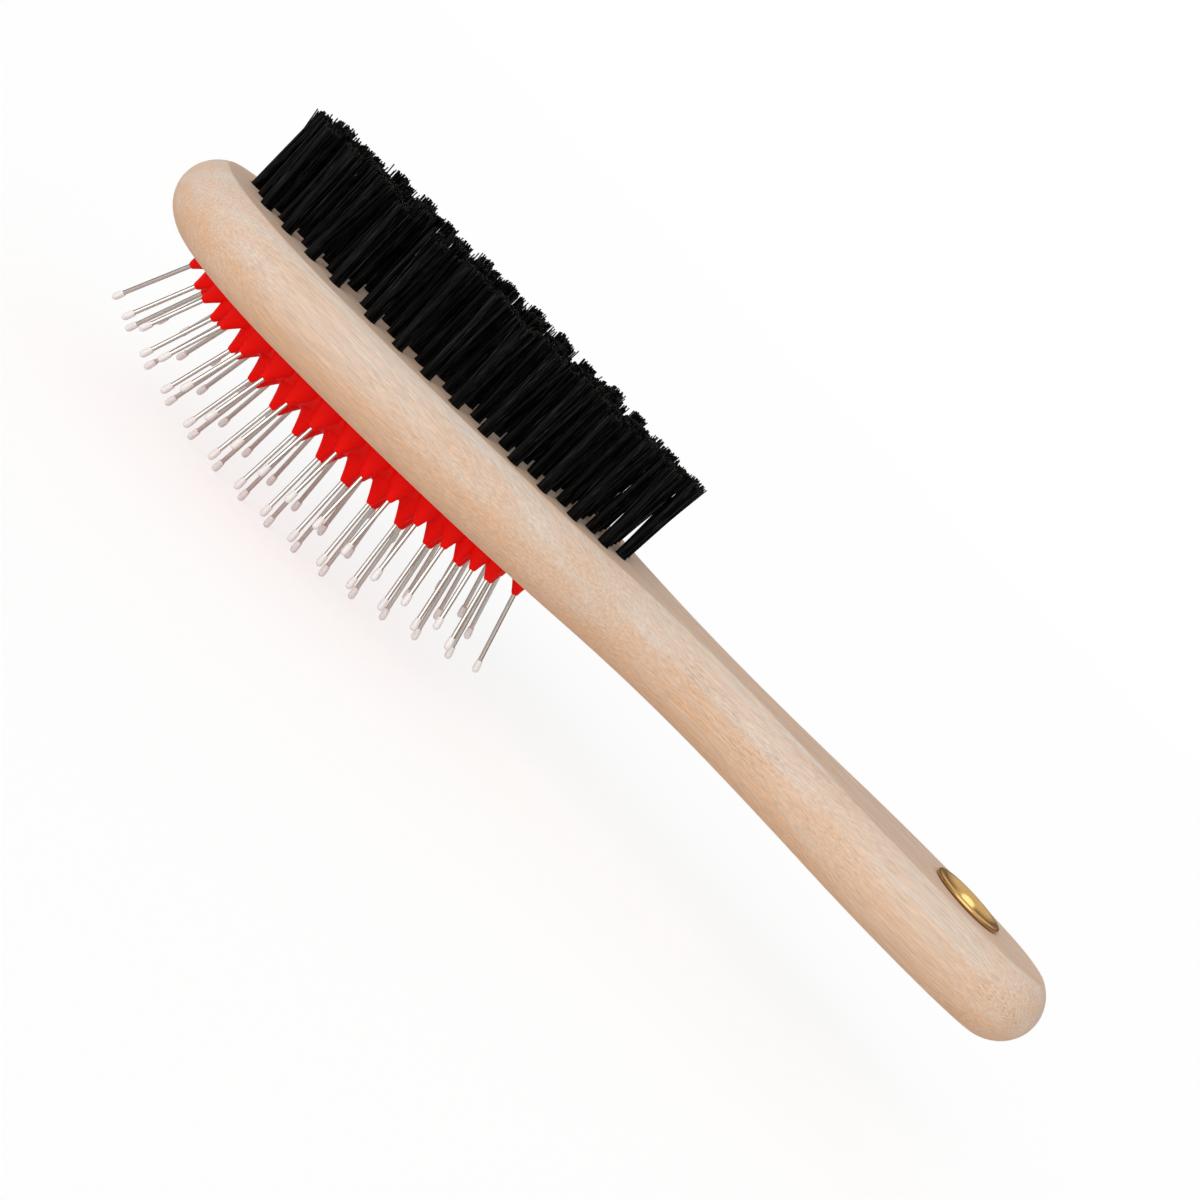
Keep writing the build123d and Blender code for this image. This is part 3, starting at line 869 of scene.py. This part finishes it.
class BRUSH_OT_studio(bpy.types.Operator):
    """Pale floor, one soft light, white surroundings and the camera"""
    bl_idname = "brush.studio"
    bl_label = "Studio"

    def execute(self, context):
        settings = context.scene.brush_studio
        deselect()
        bpy.ops.mesh.primitive_plane_add(size=FLOOR_SIZE, location=(0, 0, -0.01 * MM))
        floor = context.object
        floor.name = "floor"
        floor.data.materials.append(self.floor_material(settings))
        self.world()
        soft_light("front", bearing=-15, height=25, strength=1.35, spread=60,
                   colour=(1.0, 0.985, 0.965))
        self.camera(context, settings)
        context.scene.view_settings.view_transform = "Standard"
        return {"FINISHED"}

    @staticmethod
    def floor_material(settings):
        """Matt paper floor: lit like paper, and drawn towards white where the camera sees it."""
        material, tree, shader, place = new_material("Matt paper")
        shader.inputs["Base Color"].default_value = (*settings.floor, 1)
        shader.inputs["Roughness"].default_value = 0.9
        seen = add_node(tree, "ShaderNodeLightPath").outputs["Is Camera Ray"]
        share = add_node(tree, "ShaderNodeMath", {0: seen, 1: 0.6}, operation="MULTIPLY")
        white = add_node(tree, "ShaderNodeEmission", {"Color": (1, 1, 1, 1), "Strength": 1.2})
        mixed = add_node(tree, "ShaderNodeMixShader", {
            0: share.outputs["Value"], 1: shader.outputs["BSDF"], 2: white.outputs["Emission"]})
        tree.links.new(mixed.outputs["Shader"], tree.nodes["Material Output"].inputs["Surface"])
        return material

    @staticmethod
    def world():
        """White for the camera; for gloss, a white front and ceiling and a brown room behind."""
        world = bpy.data.worlds.new("Photo studio")
        world.use_nodes = True
        tree = world.node_tree
        path = add_node(tree, "ShaderNodeLightPath")
        direction = add_node(tree, "ShaderNodeTexCoord").outputs["Generated"]
        aim = add_node(tree, "ShaderNodeSeparateXYZ", {"Vector": direction})
        front = add_node(tree, "ShaderNodeMapRange", {
            "Value": aim.outputs["Y"], "From Min": -0.25, "From Max": -0.8})
        above = add_node(tree, "ShaderNodeMapRange", {
            "Value": aim.outputs["Z"], "From Min": 0.25, "From Max": 0.7})
        bright = add_node(tree, "ShaderNodeMath", {
            0: front.outputs["Result"], 1: above.outputs["Result"]}, operation="MAXIMUM")
        room = add_node(tree, "ShaderNodeMix", {
            "Factor": bright.outputs["Value"], "A": (*linear("#80654B"), 1), "B": (1, 1, 1, 1)},
            data_type="RGBA")
        glossy = path.outputs["Is Glossy Ray"]
        colour = add_node(tree, "ShaderNodeMix", {
            "Factor": glossy, "A": (1, 1, 1, 1), "B": room.outputs["Result"]}, data_type="RGBA")
        seen = add_node(tree, "ShaderNodeMath", {
            0: path.outputs["Is Camera Ray"], 1: glossy}, operation="MAXIMUM")
        strength = add_node(tree, "ShaderNodeMapRange", {
            "Value": seen.outputs["Value"], "To Min": 0.56, "To Max": 1.0})
        back = tree.nodes["Background"]
        tree.links.new(colour.outputs["Result"], back.inputs["Color"])
        tree.links.new(strength.outputs["Result"], back.inputs["Strength"])
        bpy.context.scene.world = world

    @staticmethod
    def camera(context, settings):
        """Looks along +Y, down on the bristle side, with the brush sloping in the picture."""
        down, bearing = settings.height, settings.bearing
        ahead = Vector((math.sin(bearing) * math.cos(down), math.cos(bearing) * math.cos(down),
                        -math.sin(down)))
        level = Vector((math.cos(bearing), -math.sin(bearing), 0))
        upright = level.cross(ahead)
        right = level * math.cos(settings.roll) + upright * math.sin(settings.roll)
        up = upright * math.cos(settings.roll) - level * math.sin(settings.roll)
        data = bpy.data.cameras.new("camera")
        data.sensor_width = 36
        data.lens = settings.lens
        data.clip_start = 10 * MM
        holder = bpy.data.objects.new("camera", data)
        context.collection.objects.link(holder)
        columns = Matrix((right, up, -ahead)).transposed().to_4x4()
        holder.matrix_world = Matrix.Translation(Vector(AIM) - ahead * settings.distance) @ columns
        context.scene.camera = holder


# ---- add-on ----
SETTINGS = {
    "body": BodySettings,
    "cushion": CushionSettings,
    "pins": PinSettings,
    "bristles": BristleSettings,
    "eyelet": EyeletSettings,
    "studio": StudioSettings,
}
OPERATORS = (
    BRUSH_OT_wooden_body,
    BRUSH_OT_rubber_cushion,
    BRUSH_OT_pins,
    BRUSH_OT_bristles,
    BRUSH_OT_eyelet,
    BRUSH_OT_studio,
)


def settings_of(name):
    return getattr(bpy.context.scene, f"brush_{name}")


class BRUSH_PT_panel(bpy.types.Panel):
    """Lists the pieces of the brush with their settings"""
    bl_idname = "BRUSH_PT_panel"
    bl_label = "Pet brush"
    bl_space_type = "VIEW_3D"
    bl_region_type = "UI"
    bl_category = "Pet brush"

    def draw(self, context):
        for (name, group), operator in zip(SETTINGS.items(), OPERATORS):
            box = self.layout.box()
            box.operator(operator.bl_idname)
            for setting in group.__annotations__:
                box.prop(settings_of(name), setting)


def register():
    for name, group in SETTINGS.items():
        bpy.utils.register_class(group)
        setattr(bpy.types.Scene, f"brush_{name}", bpy.props.PointerProperty(type=group))
    for group in (*OPERATORS, BRUSH_PT_panel):
        bpy.utils.register_class(group)


def unregister():
    for group in (BRUSH_PT_panel, *reversed(OPERATORS)):
        bpy.utils.unregister_class(group)
    for name, group in reversed(SETTINGS.items()):
        delattr(bpy.types.Scene, f"brush_{name}")
        bpy.utils.unregister_class(group)


def main():
    register()
    bpy.ops.brush.wooden_body()
    bpy.ops.brush.rubber_cushion()
    bpy.ops.brush.pins()
    bpy.ops.brush.bristles()
    bpy.ops.brush.eyelet()
    bpy.ops.brush.studio()


if __name__ == "__main__":
    main()
